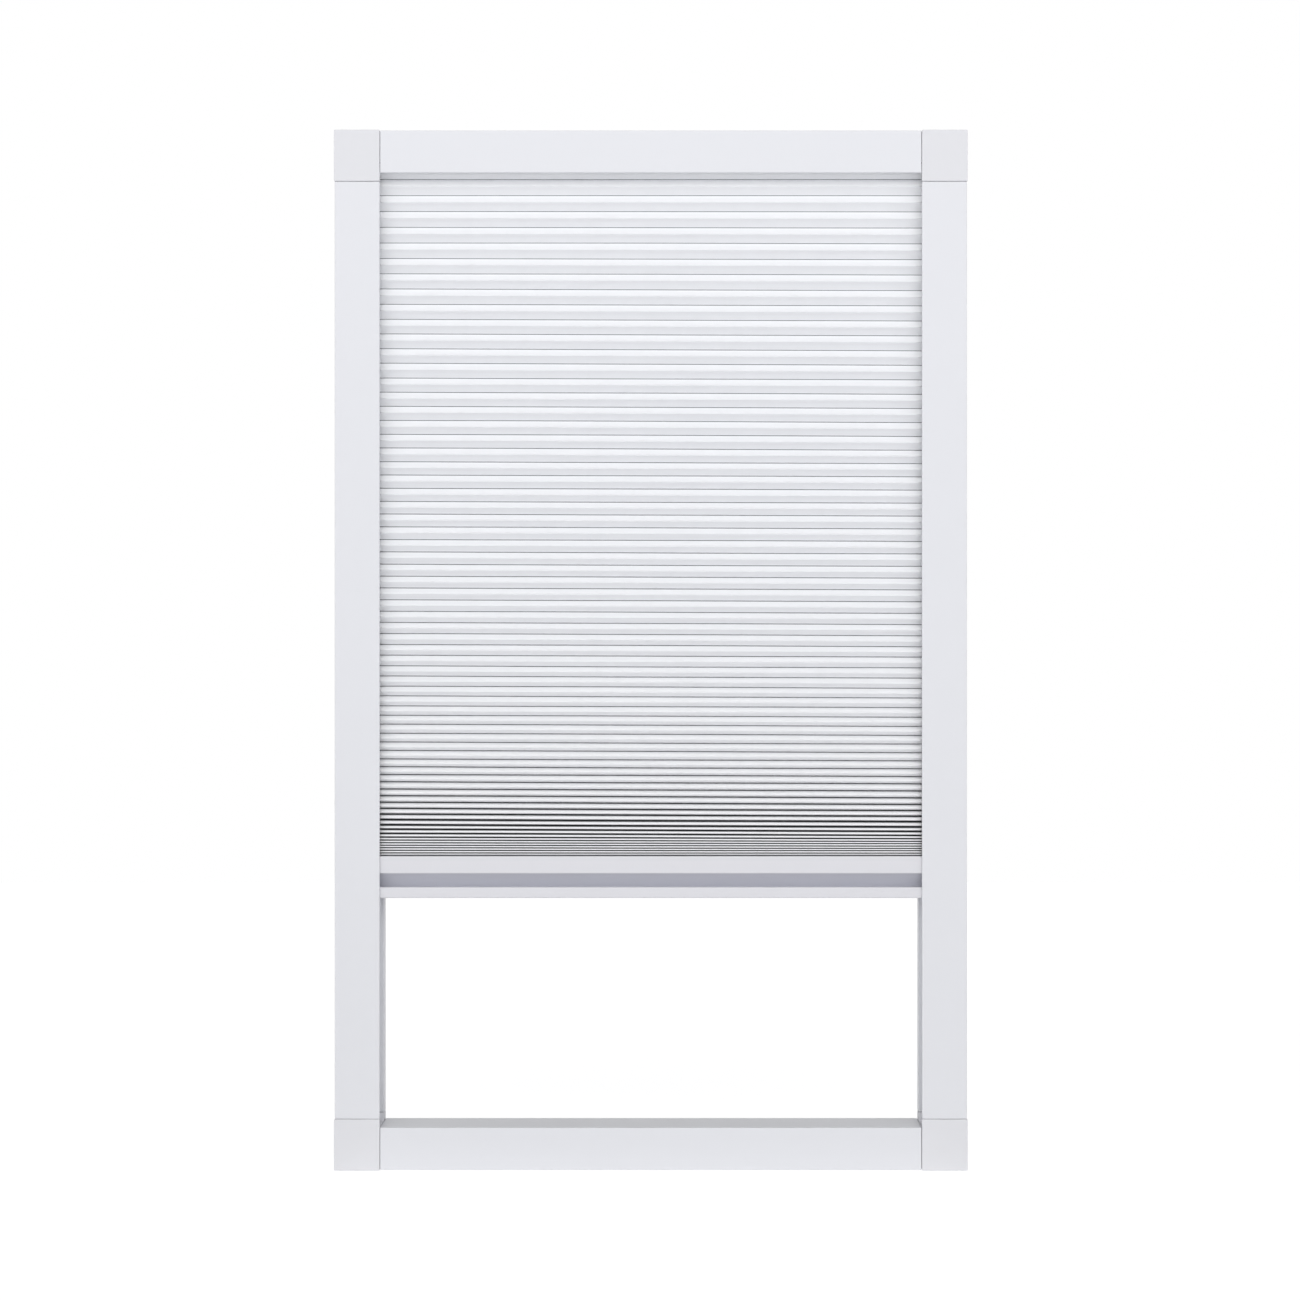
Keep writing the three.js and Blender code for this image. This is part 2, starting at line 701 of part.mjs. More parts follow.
// Moving rail: the handle rail with its strip and, at each end, a carriage with pad, spring and screw
const moving = new THREE.Group();
moving.position.set(0, fabricY, handleBottomZ);
blind.add(moving);
const handleSection = handleRail(2 * handleEndX);
add(moving, "handle_rail", handleSection.geometry, aluminium);
const handleStripZ = handleHeight - slotLip - slotHeight / 2;
add(moving, "handle_fabric_strip", fabricStrip(), plainStrip, 0, 0, handleStripZ);
for (const side of ["left", "right"]) {
  const hand = new THREE.Group();
  hand.scale.x = side === "left" ? 1 : -1;
  moving.add(hand);
  const padX = fit - openX - channelReach;
  const springX = -openX - shoeInner - shoeFloor - fit;
  const springY = fit - padWidth / 2;
  const screwY = handleDepth / 2;
  add(hand, `end_carriage_${side}`, carriage(handleSection), nylon, -openX);
  add(hand, `friction_pad_${side}`, frictionPad(), felt, padX, 0, padZ);
  add(hand, `pad_spring_${side}`, padSpring(), springSteel, springX, springY, padZ);
  const screw = add(hand, `carriage_screw_${side}`, countersunkScrew(), zincSteel);
  screw.position.set(-carriageScrewX, screwY, carriageScrewZ);
}

export default blind;
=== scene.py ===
"""Dresses the skylight blind: its honeycomb cell by cell, its coated profiles, mouldings and screws."""

import logging
import math
from dataclasses import dataclass, field
from enum import Enum
from functools import cache

import bmesh
import bpy
from bmesh.types import BMEdge, BMesh, BMVert
from bpy.types import Material, Node, NodeSocket, Object
from mathutils import Matrix, Vector, noise

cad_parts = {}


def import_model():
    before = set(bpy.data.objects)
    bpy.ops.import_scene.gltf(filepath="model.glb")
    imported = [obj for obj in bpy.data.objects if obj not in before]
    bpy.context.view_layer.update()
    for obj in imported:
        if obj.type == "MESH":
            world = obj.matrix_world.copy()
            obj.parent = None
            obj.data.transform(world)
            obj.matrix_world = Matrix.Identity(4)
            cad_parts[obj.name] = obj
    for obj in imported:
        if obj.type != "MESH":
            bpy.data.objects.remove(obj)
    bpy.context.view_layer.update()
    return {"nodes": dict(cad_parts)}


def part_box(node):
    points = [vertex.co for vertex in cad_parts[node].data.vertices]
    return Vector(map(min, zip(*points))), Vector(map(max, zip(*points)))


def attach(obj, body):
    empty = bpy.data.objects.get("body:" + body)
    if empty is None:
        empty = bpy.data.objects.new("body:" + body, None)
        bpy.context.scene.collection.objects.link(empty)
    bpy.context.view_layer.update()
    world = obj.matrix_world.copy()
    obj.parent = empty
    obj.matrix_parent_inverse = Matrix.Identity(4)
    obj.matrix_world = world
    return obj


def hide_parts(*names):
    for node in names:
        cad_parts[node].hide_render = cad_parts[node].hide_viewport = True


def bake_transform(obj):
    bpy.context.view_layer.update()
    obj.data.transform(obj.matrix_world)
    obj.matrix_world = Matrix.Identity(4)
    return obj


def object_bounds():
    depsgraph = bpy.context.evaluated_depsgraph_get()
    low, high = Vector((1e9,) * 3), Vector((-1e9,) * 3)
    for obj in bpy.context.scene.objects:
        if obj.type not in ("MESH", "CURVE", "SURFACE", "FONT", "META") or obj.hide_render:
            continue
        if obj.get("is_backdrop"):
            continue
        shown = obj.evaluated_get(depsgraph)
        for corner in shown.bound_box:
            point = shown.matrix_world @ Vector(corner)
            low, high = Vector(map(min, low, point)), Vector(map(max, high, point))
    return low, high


MM = 0.001
LEVEL = Vector((1.0, 0.0, 0.0))
UP = Vector((0.0, 0.0, 1.0))
WHITE = (1.0, 1.0, 1.0, 1.0)

log = logging.getLogger("blind")


class Body(str, Enum):
    """The two rigid bodies of the blind."""

    FRAME = "frame"
    RAIL = "moving_rail"


class Slot(str, Enum):
    """The record's material slots."""

    ALUMINIUM = "frame_aluminium"
    MOULDING = "corner_moulding"
    FABRIC = "cell_fabric"
    NYLON = "carriage_nylon"
    STRIP = "fabric_strip"
    FELT = "friction_felt"
    SPRING = "spring_steel"
    SCREW = "screw_steel"


class Side(Enum):
    """A side of the blind."""

    LEFT = "left"
    RIGHT = "right"


Pair = tuple[float, float]
Triple = tuple[float, float, float]
Colour = Triple

# The polish, grain, depth and mottle of the powder coat on all profiles.
POWDER_COAT = (0.42, 2600.0, 0.012 * MM, 0.012)

# What the sockets of the node groups carry, where it isn't a plain number.
SOCKETS = {"Tone": "Color", "Colour": "Color", "Place": "Vector", "Turn": "Vector", "Lines": "Vector"}


class NodeTree:
    """A small helper that adds and links the nodes of a material or a node group."""

    def __init__(self, tree: bpy.types.NodeTree) -> None:
        """Takes the tree of a material, a world or a group, and empties it."""
        self.tree = tree
        self.tree.nodes.clear()

    def add(self, kind: str, inputs: dict | None = None, **settings: object) -> Node:
        """Adds a node.

        Args:
            kind: The node's type name, without the ShaderNode in front.
            inputs: Values or output sockets by the name or number of the input.
            **settings: Properties of the node.

        Returns:
            The new node.
        """
        node = self.tree.nodes.new(kind if kind.startswith("Node") else "ShaderNode" + kind)
        for name, value in settings.items():
            setattr(node, name, value)
        for name, value in (inputs or {}).items():
            if isinstance(value, NodeSocket):
                self.tree.links.new(value, node.inputs[name])
            else:
                node.inputs[name].default_value = value
        return node

    def maths(self, operation: str, *values: object) -> NodeSocket:
        """Adds a Math node with numbers or sockets as its inputs, and gives its output."""
        return self.add("Math", dict(enumerate(values)), operation=operation).outputs[0]

    def spread(self, value: NodeSocket, low: float, high: float,
               to_low: float = 0.0, to_high: float = 1.0) -> NodeSocket:
        """Maps the range from low to high onto the one from to_low to to_high, with a smooth step."""
        inputs = {"Value": value, "From Min": low, "From Max": high, "To Min": to_low, "To Max": to_high}
        return self.add("MapRange", inputs, interpolation_type="SMOOTHSTEP").outputs[0]

    def mix(self, share: object, first: object, second: object) -> NodeSocket:
        """Mixes two colours by the second one's share. The node's colour sockets are found by number."""
        return self.add("Mix", {0: share, 6: first, 7: second}, data_type="RGBA").outputs[2]

    def surface(self, colour: object, roughness: object, relief: tuple[NodeSocket, float, float],
                metallic: float = 0.0, sheen: float = 0.0) -> None:
        """Ends a material with its shader and its bump.

        Args:
            colour: The base colour's socket.
            roughness: The roughness, a number or a socket.
            relief: The bump's height, how strongly it shows, and its depth in metres.
            metallic: 1 for a metal.
            sheen: The weight of its sheen.
        """
        bump = self.add("Bump", dict(zip(("Height", "Strength", "Distance"), relief)))
        inputs = {"Base Color": colour, "Roughness": roughness, "Metallic": metallic, "Sheen Weight": sheen,
                  "Normal": bump.outputs[0]}
        self.add("OutputMaterial", {"Surface": self.add("BsdfPrincipled", inputs).outputs[0]})


def new_material(name: str) -> tuple[Material, NodeTree]:
    """Makes a material with no nodes yet.

    Args:
        name: The material's name.

    Returns:
        The material, and the helper that builds in its node tree.
    """
    made = bpy.data.materials.new(name)
    made.use_nodes = True
    return made, NodeTree(made.node_tree)


def new_group(name: str, takes: tuple[str, ...], gives: tuple[str, ...]) -> tuple[NodeTree, dict]:
    """Makes a node group with named inputs and outputs, and nothing between them yet.

    Args:
        name: The group's name.
        takes: Its inputs' names.
        gives: Its outputs' names.

    Returns:
        The helper that builds in it, and its inputs by name.
    """
    group = bpy.data.node_groups.new(name, "ShaderNodeTree")
    for way, labels in (("INPUT", takes), ("OUTPUT", gives)):
        for label in labels:
            kind = "NodeSocket" + SOCKETS.get(label, "Float")
            group.interface.new_socket(label, in_out=way, socket_type=kind)
    build = NodeTree(group)
    return build, dict(zip(takes, build.add("NodeGroupInput").outputs))


@cache
def grain_group() -> bpy.types.NodeTree:
    """Builds, once, the group that gives a coated or moulded surface its fine grain and slight mottle.

    Returns:
        The node group.
    """
    takes = ("Scale", "Mottle Scale", "Tone", "Mottle", "Polish")
    build, given = new_group("fine_grain", takes, ("Colour", "Roughness", "Height"))
    pit_share, uneven_polish = 0.6, 0.12
    place = build.add("TexCoord").outputs["Object"]
    fine = build.add("TexNoise", {"Vector": place, "Scale": given["Scale"], "Detail": 3.0}).outputs[0]
    pits = build.add("TexVoronoi", {"Vector": place, "Scale": given["Scale"]}, feature="SMOOTH_F1")
    broad = build.add("TexNoise", {"Vector": place, "Scale": given["Mottle Scale"], "Detail": 4.0})
    uneven = build.maths("SUBTRACT", broad.outputs[0], 0.5)
    speck = build.maths("SUBTRACT", fine, 0.5)
    tone = build.maths("MULTIPLY", given["Mottle"], build.maths("ADD", uneven, speck))
    value = build.maths("ADD", 1.0, tone)
    build.add("NodeGroupOutput", {
        "Colour": build.add("HueSaturation", {"Color": given["Tone"], "Value": value}).outputs[0],
        "Roughness": build.maths("ADD", given["Polish"], build.maths("MULTIPLY", uneven, uneven_polish)),
        "Height": build.maths("ADD", fine, build.maths("MULTIPLY", pits.outputs[0], pit_share)),
    })
    return build.tree


@cache
def lines_group() -> bpy.types.NodeTree:
    """Builds, once, the group that gives steel its drawn lines, and felt and cloth their fibres.

    Its Lines say how many lines cross a metre along each axis, and its Turn lays them at an angle.

    Returns:
        The node group.
    """
    build, given = new_group("fine_lines", ("Place", "Turn", "Lines", "Detail", "Tangle"), ("Height",))
    laid = {"Vector": given["Place"], "Rotation": given["Turn"], "Scale": given["Lines"]}
    place = build.add("Mapping", laid).outputs[0]
    drawn = {"Vector": place, "Scale": 1.0, "Detail": given["Detail"], "Distortion": given["Tangle"]}
    build.add("NodeGroupOutput", {"Height": build.add("TexNoise", drawn).outputs[0]})
    return build.tree


@dataclass(frozen=True)
class GrainedFinish:
    """A powder coat or a moulded surface: one tone, with a fine grain that catches the light.

    Attributes:
        name, tone: The material's name, and its base colour, linear.
        polish: Its mean roughness.
        grain, depth: How many grains lie along a metre, and their height in metres.
        mottle, mottle_grains: How far the tone varies, and how many grains wide its patches are.
    """

    name: str
    tone: Colour
    polish: float
    grain: float
    depth: float
    mottle: float
    mottle_grains: float = 90.0

    def material(self) -> Material:
        """Builds the material.

        Returns:
            The material.
        """
        made, build = new_material(self.name)
        inputs = {"Scale": self.grain, "Mottle Scale": self.grain / self.mottle_grains,
                  "Tone": self.toned(build), "Mottle": self.mottle, "Polish": self.polish}
        grain = build.add("Group", inputs, node_tree=grain_group())
        colour, roughness, height = grain.outputs
        build.surface(colour, roughness, (height, 1.0, self.depth))
        return made

    def toned(self, build: NodeTree) -> object:
        """Gives the tone, which is the same all over."""
        return (*self.tone, 1)


@dataclass(frozen=True)
class PaintedShadeRecessFinish(GrainedFinish):
    """A powder coat with painted shade in a recess along X, which makes it greyer and a little cooler there.

    Attributes:
        low, high: The recess's opposite corners, as (depth, height) in metres.
        painted_shade_tone: The colour of the painted shade in it, linear.
        edge: How softly it begins and ends.
    """

    low: Pair = (0.0, 0.0)
    high: Pair = (0.0, 0.0)
    painted_shade_tone: Colour = (0.61, 0.615, 0.67)
    edge: float = 0.8 * MM

    def toned(self, build: NodeTree) -> object:
        """Mixes the painted shade in over the recess.

        Args:
            build: The material's nodes.

        Returns:
            The colour's socket.
        """
        place = build.add("SeparateXYZ", {0: build.add("TexCoord").outputs["Object"]})
        inside = 1.0
        for axis, low, high in zip((1, 2), self.low, self.high):
            rises = build.spread(place.outputs[axis], low - self.edge, low + self.edge)
            falls = build.spread(place.outputs[axis], high - self.edge, high + self.edge, 1.0, 0.0)
            inside = build.maths("MULTIPLY", inside, build.maths("MULTIPLY", rises, falls))
        # Painted shade: the recess takes a greyer, cooler tone where the groove lies in shade.
        return build.mix(inside, (*self.tone, 1), (*self.painted_shade_tone, 1))


@dataclass(frozen=True)
class LinedFinish:
    """A surface of fine lines: drawn or turned steel, or felt, whose fibres lie every way.

    Attributes:
        name, tone: The material's name, and its base colour, linear.
        lines: How many lines cross a metre along X, Y and Z.
        rough_span, tone_span: The least and greatest roughness, and shares of the tone's value.
        contrast: How far from the middle of the noise the tone is at its least and greatest.
        detail, tangle: How finely the lines branch, and how far they wind.
        relief, depth: How strongly the lines show, and their depth in metres.
        metallic, sheen: 1 for a metal, and the weight of a cloth's sheen.
    """

    name: str
    tone: Colour
    lines: Triple
    rough_span: Pair
    tone_span: Pair = (0.9, 1.05)
    contrast: float = 0.3
    detail: float = 4.0
    tangle: float = 0.0
    relief: float = 0.4
    depth: float = 0.02 * MM
    metallic: float = 1.0
    sheen: float = 0.0

    def material(self) -> Material:
        """Builds the material.

        Returns:
            The material.
        """
        made, build = new_material(self.name)
        inputs = {"Place": build.add("TexCoord").outputs["Object"], "Lines": self.lines,
                  "Detail": self.detail, "Tangle": self.tangle}
        lines = build.add("Group", inputs, node_tree=lines_group()).outputs[0]
        rough = build.spread(lines, 0.3, 0.7, *self.rough_span)
        value = build.spread(lines, 0.5 - self.contrast, 0.5 + self.contrast, *self.tone_span)
        colour = build.add("HueSaturation", {"Color": (*self.tone, 1), "Value": value}).outputs[0]
        build.surface(colour, rough, (lines, self.relief, self.depth), self.metallic, self.sheen)
        return made


@dataclass(frozen=True)
class CellCloth:
    """The honeycomb's nonwoven polyester: pressed fibres, and a dark glue line with painted shade round it in
    each valley.

    Attributes:
        name: The material's name.
        open_tone: The colour of the thin cloth where a cell stands open, linear.
        folded_tone_with_painted_light: Its colour where many layers lie behind one another, lighter partly
            for the layers and partly as painted light.
        shade: The colour of the glue line and of the painted shade deep in a fold.
        long_fibres, cross_fibres: How many fibres cross a metre along the strip and across it, in each lay.
        cross_angle, fibre_detail, tangle: The second lay's angle, and how the fibres branch and wind.
        clouds: How many thicker and thinner patches lie along a metre.
        web_tone, cloud_tone: How far the fibres and the patches vary the tone.
        relief, depth: How strongly the fibres show, and how deep they lie, in metres.
        roughness, sheen: The cloth's own two.
    """

    name: str = "nonwoven_cloth"
    open_tone: Colour = (0.93, 0.937, 0.952)
    folded_tone_with_painted_light: Colour = (0.985, 0.987, 0.995)
    shade: Colour = (0.05, 0.052, 0.06)
    long_fibres: Triple = (900.0, 2600.0, 1.0)
    cross_fibres: Triple = (2200.0, 700.0, 1.0)
    cross_angle: float = math.radians(63.0)
    fibre_detail: float = 5.0
    tangle: float = 0.8
    clouds: float = 55.0
    web_tone: float = 0.015
    cloud_tone: float = 0.008
    relief: float = 0.5
    depth: float = 0.05 * MM
    roughness: float = 0.85
    sheen: float = 0.08

    def material(self) -> Material:
        """Builds the material. It reads the cloth map, and the fold map made with each cell.

        Returns:
            The material.
        """
        made, build = new_material(self.name)
        cloth = build.add("UVMap", uv_map="cloth").outputs[0]
        fold = build.add("UVMap", uv_map="fold").outputs[0]
        farness, openness = build.add("SeparateXYZ", {0: fold}).outputs[:2]
        lays = []
        for lines, angle in ((self.long_fibres, 0.0), (self.cross_fibres, self.cross_angle)):
            inputs = {"Place": cloth, "Turn": (0.0, 0.0, angle), "Lines": lines,
                      "Detail": self.fibre_detail, "Tangle": self.tangle}
            lays.append(build.add("Group", inputs, node_tree=lines_group()).outputs[0])
        web = build.maths("ADD", *lays)
        cloud = build.add("TexNoise", {"Vector": cloth, "Scale": self.clouds, "Detail": 3.0})
        tone_shift = build.maths("ADD", build.spread(web, 0.7, 1.3, 1 - self.web_tone, 1 + self.web_tone),
                                 build.spread(cloud.outputs[0], 0.3, 0.7, -self.cloud_tone, self.cloud_tone))
        # Folded cells take a lighter tone: partly the stacked layers' own paleness, partly painted light.
        layers = build.mix(build.spread(openness, 0.3, 0.9), (*self.folded_tone_with_painted_light, 1), (*self.open_tone, 1))
        clean = build.add("HueSaturation", {"Color": layers, "Value": tone_shift}).outputs[0]
        # Painted shade: the cloth darkens towards each glue line, wider and darker where cells lie folded.
        shaded = build.mix(build.spread(farness, 0.0, 1.0, 1.0, 0.0), clean, (*self.shade, 1))
        build.surface(shaded, self.roughness, (web, self.relief, self.depth), sheen=self.sheen)
        return made


class Finishes:
    """Every finish of the blind, made once and found by its slot, and the frame's nodes that take them."""

    def __init__(self, nodes: dict[str, Object]) -> None:
        """Builds the materials.

        Args:
            nodes: The frame's nodes.
        """
        self.nodes = nodes
        fine = 3000.0
        made = {
            Slot.ALUMINIUM: GrainedFinish("white_powder_coat", (0.82, 0.825, 0.85), *POWDER_COAT),
            Slot.MOULDING: GrainedFinish("white_moulding", (0.80, 0.80, 0.82), 0.58, 3800.0, 0.02 * MM, 0.02),
            Slot.FABRIC: CellCloth(),
            Slot.NYLON: GrainedFinish("pale_nylon", (0.66, 0.67, 0.69), 0.5, fine, 0.015 * MM, 0.02),
            Slot.STRIP: GrainedFinish("fabric_strip", (0.58, 0.60, 0.63), 0.45, fine, 0.01 * MM, 0.02),
            Slot.FELT: LinedFinish("grey_felt", (0.09, 0.097, 0.11), (1800.0, 1800.0, 1800.0), (0.95, 0.95),
                                   (0.75, 1.2), contrast=0.2, detail=6.0, tangle=1.5, relief=0.8,
                                   depth=0.2 * MM, metallic=0.0, sheen=0.4),
            Slot.SPRING: LinedFinish("spring_steel", (0.48, 0.49, 0.50), (400.0, 9000.0, 400.0), (0.22, 0.4)),
            Slot.SCREW: LinedFinish("zinc_steel", (0.56, 0.57, 0.60), (5000.0, 700.0, 5000.0), (0.24, 0.42)),
        }
        self.of: dict[str, Material] = {slot: finish.material() for slot, finish in made.items()}

    def dress(self, piece: Object, slot: str) -> None:
        """Gives a piece, or a node of the frame, the finish of a slot or the one of that name."""
        piece.data.materials.clear()
        piece.data.materials.append(self.of[slot])


def piece_from(bm: BMesh, name: str) -> Object:
    """Turns a finished bmesh into an object of the scene.

    Args:
        bm: The bmesh, in metres and in place. It is freed.
        name: The piece's name.

    Returns:
        The new object.
    """
    mesh = bpy.data.meshes.new(name)
    bm.to_mesh(mesh)
    bm.free()
    made = bpy.data.objects.new(name, mesh)
    bpy.context.scene.collection.objects.link(made)
    return made


def settle(piece: Object) -> None:
    """Applies a piece's modifiers to its mesh.

    Args:
        piece: The object, whose modifiers are then gone.
    """
    bpy.context.view_layer.update()
    graph = bpy.context.evaluated_depsgraph_get()
    mesh = bpy.data.meshes.new_from_object(
        piece.evaluated_get(graph), preserve_all_data_layers=True, depsgraph=graph)
    piece.modifiers.clear()
    piece.data = mesh


def hand_over(piece: Object, node: str, body: Body) -> None:
    """Says which node a rigid piece stands for and which body it rides on.

    Args:
        piece: The piece.
        node: The node's name.
        body: Its body.
    """
    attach(piece, body.value)
    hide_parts(node)
    log.info("%s stands for %s", piece.name, node)


@dataclass
class RigidPart:
    """A rigid node of the frame, carried over with the eased edges of the real piece.

    Attributes:
        node, slot, body: The node's name, its material slot and the body that it rides on.
        ease: The width of the eased edges, in metres.
        trim: How much shorter the piece is at each end of its length, which opens its seams.
        coat: The finish's name where the piece doesn't have the finish of its slot.
        segments, sharp: How many facets ease an edge, and the angle from which it is one.
        weld, flat: The distance under which corners are one, and the angle under which faces are.
        small: The area of the faces round the screw holes, whose edges stay as they are.
    """

    node: str
    slot: Slot
    body: Body
    ease: float = 0.25 * MM
    trim: float = 0.0
    coat: str = ""
    segments: int = 3
    sharp: float = math.radians(38.0)
    weld: float = 0.002 * MM
    flat: float = math.radians(0.5)
    small: float = 5.0 * MM * MM

    def build(self, finishes: Finishes) -> None:
        """Copies the node, merges it, eases its outer edges and dresses it.

        Args:
            finishes: The finishes.
        """
        bm = bmesh.new()
        bm.from_mesh(finishes.nodes[self.node].data)
        bmesh.ops.remove_doubles(bm, verts=bm.verts, dist=self.weld)
        bmesh.ops.dissolve_limit(bm, angle_limit=self.flat, verts=bm.verts, edges=bm.edges)
        self.shorten(bm)
        edges = [e for e in bm.edges if e.is_manifold and e.is_convex and e.calc_face_angle() > self.sharp
                 and min(face.calc_area() for face in e.link_faces) > self.small]
        bmesh.ops.bevel(bm, geom=edges, offset=self.ease, segments=self.segments, profile=0.5,
                        affect="EDGES", clamp_overlap=False, material=-1)
        for face in bm.faces:
            face.smooth = True
        for edge in bm.edges:
            if edge.is_manifold and edge.calc_face_angle() > self.sharp:
                edge.smooth = False
        piece = piece_from(bm, f"{self.node}_finished")
        piece.modifiers.new("even_shading", "WEIGHTED_NORMAL").keep_sharp = True
        settle(piece)
        finishes.dress(piece, self.coat or self.slot)
        hand_over(piece, self.node, self.body)

    def shorten(self, bm: BMesh) -> None:
        """Takes the trim off both ends of the piece's length.

        Args:
            bm: The piece's bmesh.
        """
        low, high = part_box(self.node)
        size = high - low
        along = max(range(3), key=lambda axis: size[axis])
        for vert in bm.verts:
            if abs(vert.co[along] - low[along]) < self.ease:
                vert.co[along] += self.trim
            elif abs(vert.co[along] - high[along]) < self.ease:
                vert.co[along] -= self.trim


@dataclass
class Cell:
    """One cell of the honeycomb.

    Attributes:
        bottom, top: The heights of its lower and upper glue bands, in metres.
        openness: 0 where it is folded flat, 1 where it is open widest.
        low_share, high_share: How far each glue band follows the handle rail, from 0 to 1. high_share is not
            used.
    """

    bottom: float
    top: float
    openness: float
    low_share: float = 1.0
    high_share: float = 0.0

    @property
    def pitch(self) -> float:
        """The height between its glue bands."""
        return self.top - self.bottom


@dataclass
class Honeycomb:
    """The fabric between the head rail and the handle rail: one piece for each cell.

    The cells hang from one another, so they stand open at the top, under the weight of those below, and lie
    folded on the handle rail. Each one keeps the length of its facets.

    Attributes:
        facet, glue_band, cloth: The facets' length, the glue bands' depth and the cloth's thickness.
        mean_pitch_share: The cells' mean pitch, as a share of two facets laid flat. It gives their number.
        folded_share, slack_share: The pitch of a folded cell, and how many are folded, as shares.
        stacked_pitch: A cell's height in the stack at the slide's upper limit.
        crease_pitch_share, crease_round: The creases' greatest radius, and the share that is rounded.
        crease_shine: The depth behind a crease that is shaded smoothly, in radii.
        fold_starts, fold_ends: The openness at which a cell starts to count as folded, and then does fully.
        shade_reach, folded_shade: How far the painted shade spreads from a glue line, and how much more if
            folded.
        shade_pitch_share, shade_core_share: The most that it takes of a pitch, and its fully dark share.
        seat_shade: How much further the painted shade spreads where the fabric lies on the handle rail.
        waviness, wander: How far the creases wander, and the glue lines, with the most of a pitch for each.
        seeds: What tells the ripples of cells and of sides apart, and the glue lines' wander from both.
        askew: How far the glue lines hang above or below their place at the fabric's sides.
        askew_below_head, askew_above_rail: The distances over which they come to hang so.
        slot_lip, slot_height, slot_half, slot_mouth: The rails' grooves: lips, height and half depths.
        clearance, neck_play: The play of a trapped cell in the groove and in its mouth.
    """

    facet: float = 10.4 * MM
    glue_band: float = 5.0 * MM
    cloth: float = 0.26 * MM
    half_width: float = 268.5 * MM
    columns: int = 24
    seat_gap: float = 0.5 * MM
    mean_pitch_share: float = 0.48
    folded_share: float = 0.15
    slack_share: float = 0.10
    stacked_pitch: float = 1.86 * MM
    open_crease: float = 0.22 * MM
    folded_crease: float = 1.1 * MM
    crease_pitch_share: float = 0.24
    crease_round: float = 0.95
    crease_segments: int = 3
    crease_shine: float = 1.5
    fold_starts: float = 0.6
    fold_ends: float = 0.3
    shade_reach: float = 0.5 * MM
    folded_shade: float = 0.8 * MM
    shade_pitch_share: float = 0.30
    shade_core_share: float = 0.5
    seat_shade: float = 0.4 * MM
    waviness: float = 0.06 * MM
    wave_pitch_share: float = 0.08
    wave_length: float = 90.0 * MM
    wander: float = 0.4 * MM
    wander_share: float = 0.1
    wander_length: float = 400.0 * MM
    seeds: Triple = (1.7, 3.1, 5.3)
    askew: float = 1.1 * MM
    askew_below_head: float = 180.0 * MM
    askew_above_rail: float = 25.0 * MM
    slot_lip: float = 1.5 * MM
    slot_height: float = 3.0 * MM
    slot_half: float = 9.9 * MM
    slot_mouth: float = 6.5 * MM
    clearance: float = 0.3 * MM
    neck_play: float = 1.5 * MM
    cells: list[Cell] = field(default_factory=list)
    middle: float = 0.0

    @property
    def around(self) -> float:
        """The length of a strip round its cell."""
        return 4 * self.facet + 2 * self.glue_band

    def hang(self) -> None:
        """Works out every cell's place at rest and how far it follows the handle rail."""
        low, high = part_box("honeycomb_fabric")
        self.middle = (low.y + high.y) / 2
        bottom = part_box("handle_rail")[1].z + self.seat_gap
        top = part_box("head_rail")[0].z - self.seat_gap
        hung = top - bottom
        count = round(hung / (self.mean_pitch_share * 2 * self.facet))
        slack = self.slack_share * count
        shares = []
        for place in range(1, count + 1):
            carried = max(0.0, (place - slack) / (count - slack))
            shares.append(math.sqrt(self.folded_share ** 2 + (1 - self.folded_share ** 2) * carried))
        scale = hung / sum(shares)
        give = hung - count * self.stacked_pitch
        height, follow = bottom, 1.0
        for share in shares:
            pitch = share * scale
            kept = max(0.0, follow - (pitch - self.stacked_pitch) / give)
            self.cells.append(Cell(height, height + pitch, share, follow, kept))
            height += pitch
            follow = kept

    def crease(self, cell: Cell) -> float:
        """The radius of a cell's creases, which grows where the cloth lies folded and bulges."""
        radius = self.folded_crease + (self.open_crease - self.folded_crease) * cell.openness
        return min(radius, self.crease_pitch_share * cell.pitch)

    def section(self, cell: Cell) -> list[Pair]:
        """A cell's eight corners as (depth, height), from the front of its lower glue band round the front.

        Each crease is two corners, which are rounded later, so that its four facets keep their length.

        Args:
            cell: The cell.

        Returns:
            The corners, with the middle of the fabric's depth at 0.
        """
        band, nose = self.glue_band / 2, self.crease(cell)
        straight = self.facet - (math.pi / 2 - 1) * nose
        crest = band + math.sqrt(straight ** 2 - (cell.pitch / 2 - nose) ** 2)
        middle = (cell.bottom + cell.top) / 2
        front = [(-band, cell.bottom), (-crest, middle - nose), (-crest, middle + nose), (-band, cell.top)]
        return front + [(-depth, height) for depth, height in reversed(front)]

    def shade(self, cell: Cell) -> Pair:
        """How far the painted shade spreads from a cell's glue lines, which is further where it is folded.

        Args:
            cell: The cell.

        Returns:
            The distance to which it is full, and the one at which it ends.
        """
        fold = (self.fold_starts - cell.openness) / (self.fold_starts - self.fold_ends)
        fold = min(1.0, max(0.0, fold))
        reach = min(self.shade_reach + self.folded_shade * fold ** 2, self.shade_pitch_share * cell.pitch)
        return self.shade_core_share * fold ** 3 * reach, reach

